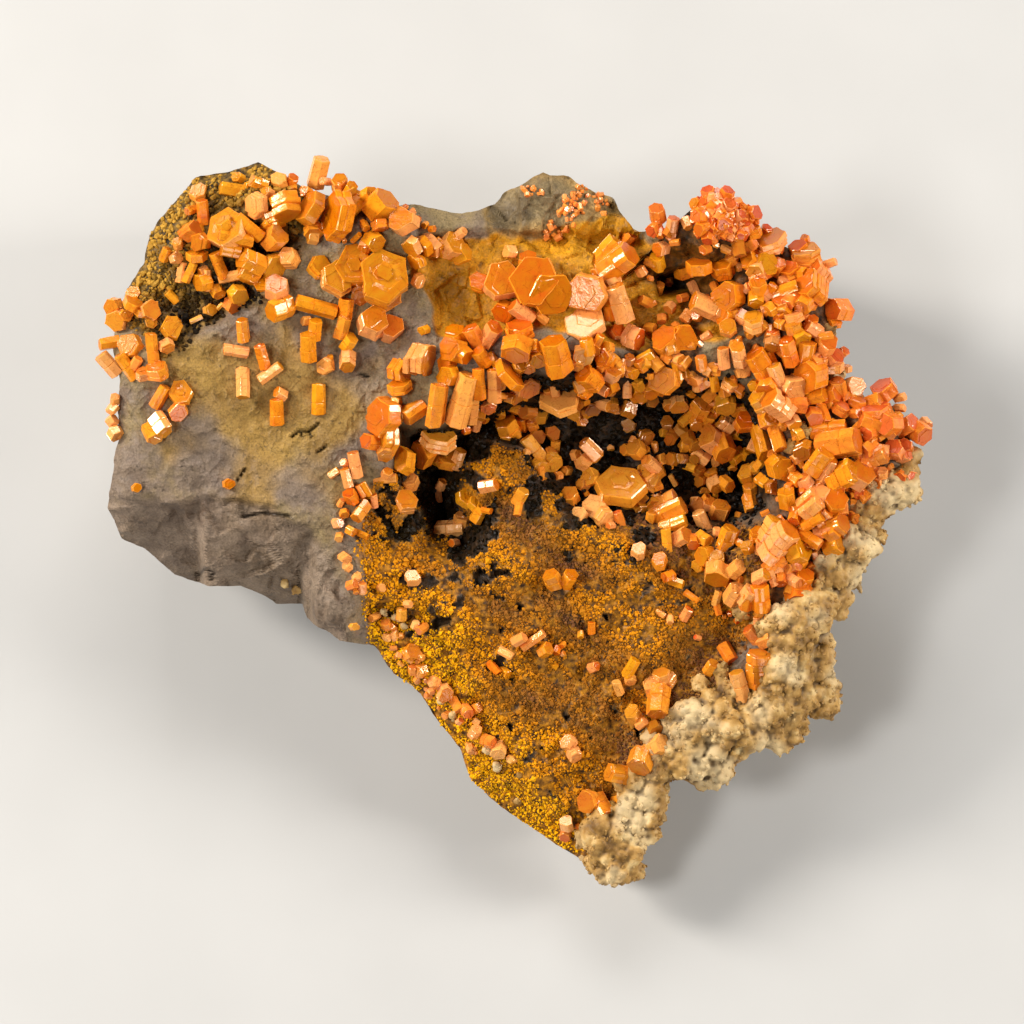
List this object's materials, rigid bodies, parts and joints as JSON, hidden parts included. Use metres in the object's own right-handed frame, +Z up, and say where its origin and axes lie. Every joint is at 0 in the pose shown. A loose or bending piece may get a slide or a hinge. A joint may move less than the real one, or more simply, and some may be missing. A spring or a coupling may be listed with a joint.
{
  "type": "vanadinite on matrix",
  "caption": "Hand-sized mineral specimen: orange six-sided vanadinite crystals in clusters on a rock with a dark hollow, an ochre slope and a cream calcite crust; lies on its flat back",
  "frame": {"origin": "on the flat underside, below the middle of the picture of the face", "axes": "+X along the longest extent, to the right of the face; +Y up the face; +Z up, off the flat underside"},
  "size_m": [0.1241, 0.107, 0.0487],
  "materials": {
    "matrix": "rough broken rock",
    "calcite": "lumpy, dull to waxy",
    "vanadinite": "glossy crystal"
  },
  "bodies": {
    "root": {"upper_left_cluster_1": "vanadinite", "upper_left_cluster_2": "vanadinite", "upper_row": "vanadinite", "middle_left_prisms_1": "vanadinite", "middle_left_prisms_2": "vanadinite", "rosette_1": "vanadinite", "rosette_2": "vanadinite", "top_band": "vanadinite", "centre_left_cluster_1": "vanadinite", "centre_left_cluster_2": "vanadinite", "centre_left_cluster_3": "vanadinite", "centre_left_cluster_4": "vanadinite", "centre_upper_cluster": "vanadinite", "centre_plates": "vanadinite", "centre_fan_1": "vanadinite", "centre_fan_2": "vanadinite", "centre_fan_3": "vanadinite", "vug_left_cluster": "vanadinite", "right_of_centre_1": "vanadinite", "right_of_centre_2": "vanadinite", "right_of_centre_3": "vanadinite", "right_plates_1": "vanadinite", "right_plates_2": "vanadinite", "right_plates_3": "vanadinite", "right_plates_4": "vanadinite", "right_plates_5": "vanadinite", "right_middle_cluster_1": "vanadinite", "right_middle_cluster_2": "vanadinite", "right_edge_cluster_1": "vanadinite", "right_edge_cluster_2": "vanadinite", "right_blocks_1": "vanadinite", "right_blocks_2": "vanadinite", "lower_right_fan": "vanadinite", "lower_right_prisms": "vanadinite", "lower_right_discs": "vanadinite", "vug_lower_cluster": "vanadinite", "vug_right_cluster": "vanadinite", "crust_crystals_1": "vanadinite", "crust_crystals_2": "vanadinite", "crust_crystals_3": "vanadinite", "calcite_crust": "calcite", "matrix": "matrix"}
  },
  "joints": []
}
